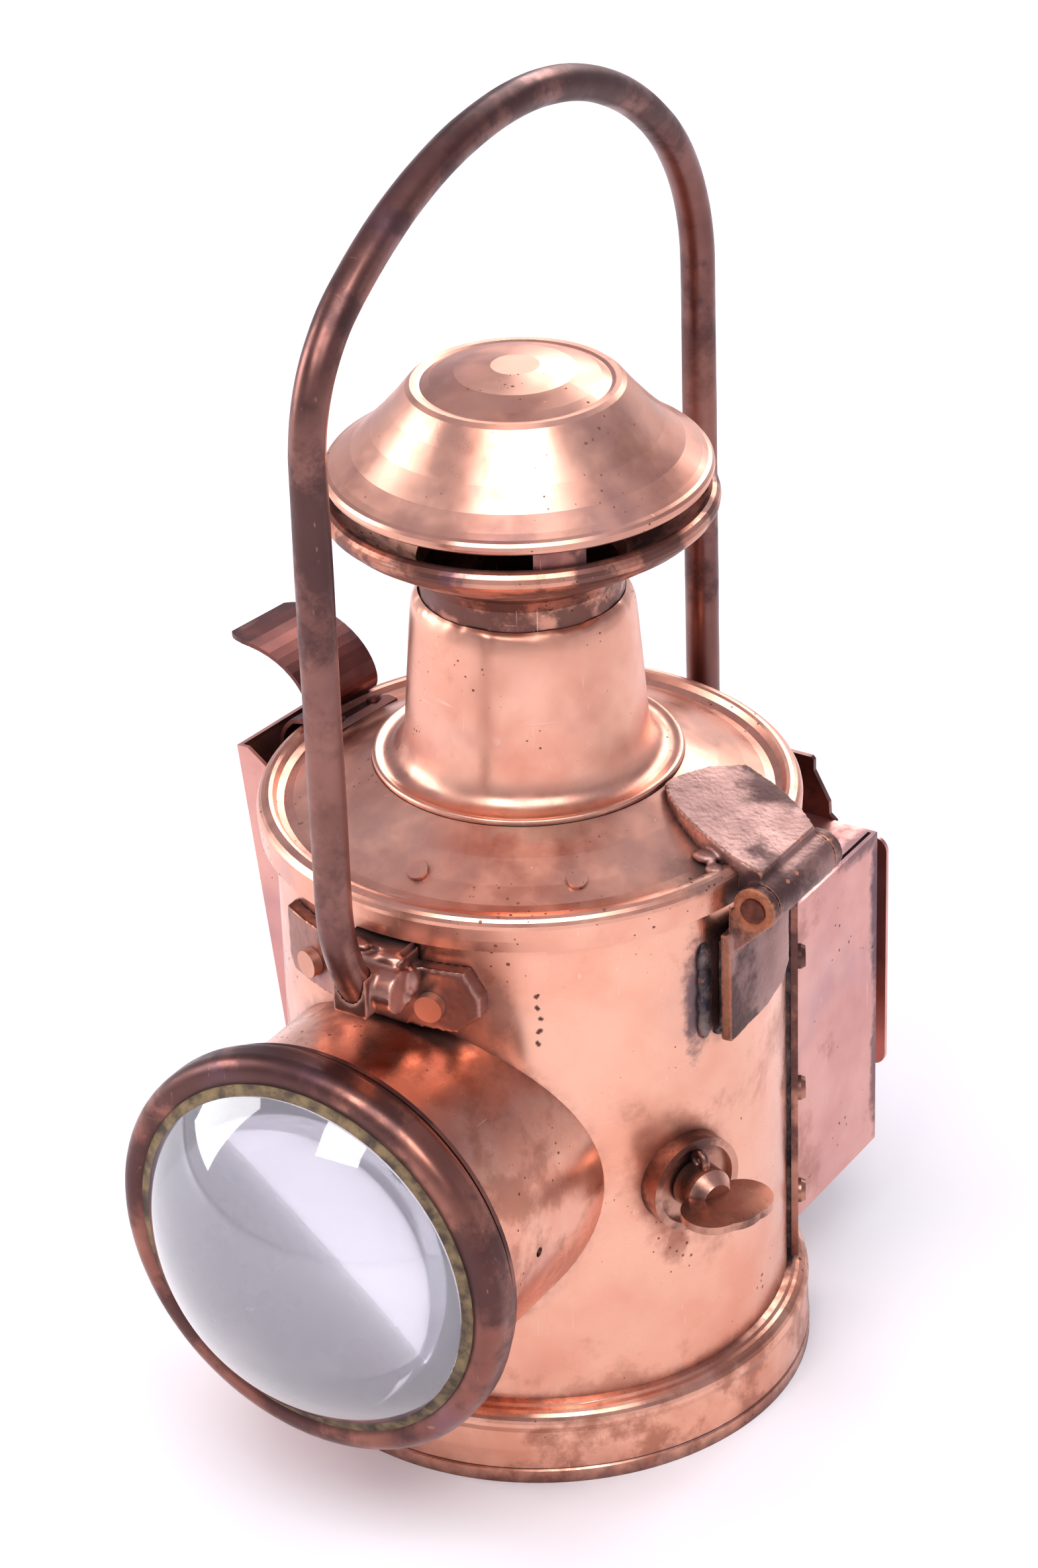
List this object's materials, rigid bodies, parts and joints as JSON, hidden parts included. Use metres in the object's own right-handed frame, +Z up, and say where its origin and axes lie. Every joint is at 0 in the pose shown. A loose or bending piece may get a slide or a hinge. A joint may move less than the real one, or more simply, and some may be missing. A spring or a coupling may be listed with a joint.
{
  "type": "railway hand lamp",
  "caption": "Copper railway bullseye hand lamp with hinged ventilator lid, fixed bail handle, wick winder, spring catch, side pocket and lamp-iron socket.",
  "frame": {"origin": "centre of the foot circle, on the surface the lamp stands on", "axes": "+Z up along the body tube, -Y the way the lens faces, +X the lid hinge side"},
  "size_m": [0.178, 0.228, 0.3545],
  "materials": {
    "body_copper": "polished sheet copper, fine pitting and scratches",
    "lid_copper": "spun sheet copper with darker edges",
    "case_copper": "sheet copper, duller, grey staining near the edges",
    "bezel_bronze": "browned rolled bronze",
    "handle_bronze": "brown patina on round bar, rubbed pink in places",
    "flange_bronze": "copper strip and snap-head rivets, lightly browned",
    "hinge_bronze": "rough sand-cast bronze with rubbed edges",
    "key_bronze": "cast and turned bronze, handled",
    "catch_strip": "spring bronze strip, dark brown",
    "solder": "soft solder, dark and lumpy",
    "lens_glass": "clear pressed glass",
    "lens_putty": "yellowed glazing putty",
    "burner_brass": "turned brass, dulled by heat",
    "fount_tin": "tinned sheet, dull",
    "silvered": "silvered copper reflector",
    "wick_cotton": "flat woven cotton"
  },
  "bodies": {
    "case": {"body_tube": "body_copper", "rim_bead": "body_copper", "base_skirt": "body_copper", "base_floor": "fount_tin", "lens_tube": "body_copper", "lens_step_ring": "bezel_bronze", "lens_bezel": "bezel_bronze", "lens_putty": "lens_putty", "bullseye_lens": "lens_glass", "front_bracket": "handle_bronze", "front_bracket_rivets": "handle_bronze", "handle": "handle_bronze", "handle_feet": "handle_bronze", "rear_bracket": "handle_bronze", "rear_bracket_rivets": "handle_bronze", "rear_upstand": "handle_bronze", "rear_case": "case_copper", "case_top_plate": "case_copper", "case_flanges": "flange_bronze", "case_packing": "solder", "case_rivets": "flange_bronze", "socket_plate": "case_copper", "socket_spacers": "flange_bronze", "socket_rivets": "flange_bronze", "side_pocket": "case_copper", "hinge_packing": "solder", "body_hinge_leaf": "hinge_bronze", "hinge_pin": "hinge_bronze", "key_boss": "key_bronze", "fount": "fount_tin", "fount_collar": "burner_brass", "burner": "burner_brass", "wick_tube": "burner_brass", "reflector": "silvered"},
    "lid": {"lid": "lid_copper", "lid_rivets": "bezel_bronze", "chimney": "lid_copper", "cap_dish": "lid_copper", "cap_spacers": "bezel_bronze", "cap_top": "lid_copper", "draught_tube": "fount_tin", "lid_hinge_leaf": "hinge_bronze", "catch_foot": "catch_strip", "catch_rivets": "catch_strip"},
    "catch": {"catch_spring": "catch_strip"},
    "key": {"key_spindle": "burner_brass", "key_sleeve": "key_bronze", "thumb_key": "key_bronze", "key_loop": "key_bronze"},
    "wick": {"wick": "wick_cotton"}
  },
  "joints": [
    {"name": "lid_hinge", "type": "hinge", "parent": "case", "child": "lid", "pos_m": [0.075, 0, 0.1605], "axis": [0, 1, 0], "range_deg": [0, 105]},
    {"name": "catch", "type": "hinge", "parent": "lid", "child": "catch", "pos_m": [-0.06239, 0.00877, 0.1685], "axis": [0.1392, 0.9903, 0], "range_deg": [0, 12], "stiffness_Nm_per_rad": 0.4},
    {"name": "wick_key", "type": "hinge", "parent": "case", "child": "key", "pos_m": [0, 0, 0.0826], "axis": [0.9164, -0.4003, 0], "range_deg": [-90, 135]},
    {"name": "wick_lift", "type": "slide", "parent": "case", "child": "wick", "axis": [0, 0, 1], "range_m": [-0.0069, 0.0104]}
  ],
  "couplings": [
    {"joint": "wick_key", "follows": "wick_lift", "rad_per_m": 222.22}
  ]
}
